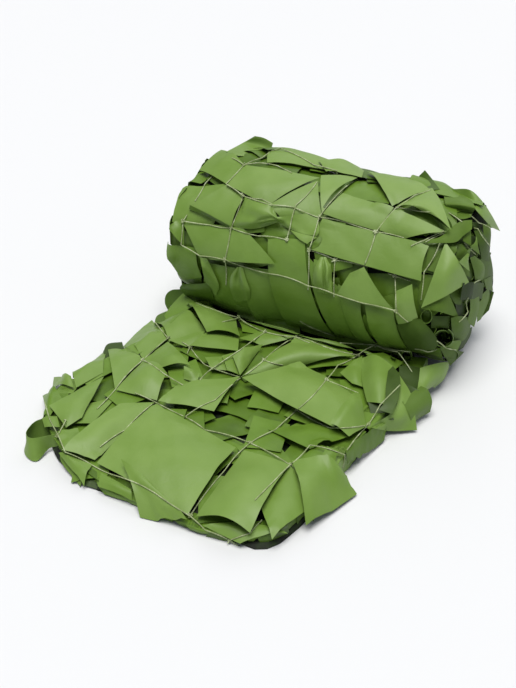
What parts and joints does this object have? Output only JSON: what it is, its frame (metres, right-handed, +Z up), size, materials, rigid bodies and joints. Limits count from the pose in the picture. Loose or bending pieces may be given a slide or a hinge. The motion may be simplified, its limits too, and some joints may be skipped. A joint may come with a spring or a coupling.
{
  "type": "camouflage net",
  "caption": "Rolled camouflage net of green film strips tied over knotted twine netting, its loose end laid out flat in front of the roll; rests on the ground, ready to be unrolled",
  "frame": {"origin": "middle of the flat spot under the roll, on the surface that the net lies on", "axes": "+X along the roll to the end face that shows, -Y toward the loose end, +Z up"},
  "size_m": [0.603, 0.7663, 0.3103],
  "materials": {
    "netting": "dull grey-green twisted twine, knotted into netting",
    "film": "smooth green coated film with a soft sheen, the same on both sides"
  },
  "bodies": {
    "root": {"netting": "netting", "strip_arched": "film", "strip_arrow": "film", "strip_back_1": "film", "strip_back_2": "film", "strip_back_3": "film", "strip_band_1": "film", "strip_band_2": "film", "strip_band_3": "film", "strip_band_4": "film", "strip_band_5": "film", "strip_band_6": "film", "strip_band_low": "film", "strip_band_wide": "film", "strip_block": "film", "strip_bow_left": "film", "strip_bunch": "film", "strip_centre": "film", "strip_crest_far": "film", "strip_crest_mid": "film", "strip_crest_near": "film", "strip_crumple": "film", "strip_dark_edge": "film", "strip_edge_left": "film", "strip_end_bulge": "film", "strip_end_leaf": "film", "strip_end_lower": "film", "strip_end_middle": "film", "strip_end_outer": "film", "strip_end_upper": "film", "strip_fan": "film", "strip_front_leaf": "film", "strip_front_right": "film", "strip_front_wide": "film", "strip_horn": "film", "strip_left_field": "film", "strip_left_leaf": "film", "strip_left_loop": "film", "strip_left_under": "film", "strip_long_field": "film", "strip_low_front": "film", "strip_mid_left": "film", "strip_middle": "film", "strip_nip": "film", "strip_point_right": "film", "strip_rear_curl": "film", "strip_rear_left": "film", "strip_right_low": "film", "strip_right_peak": "film", "strip_shoulder": "film", "strip_side_leaf": "film", "strip_side_loop": "film", "strip_slant": "film", "strip_slit_leaf": "film", "strip_spike": "film", "strip_stand_leaf": "film", "strip_top_long": "film", "strip_top_right": "film", "strip_upper_field": "film", "strip_wedge": "film"}
  },
  "joints": []
}
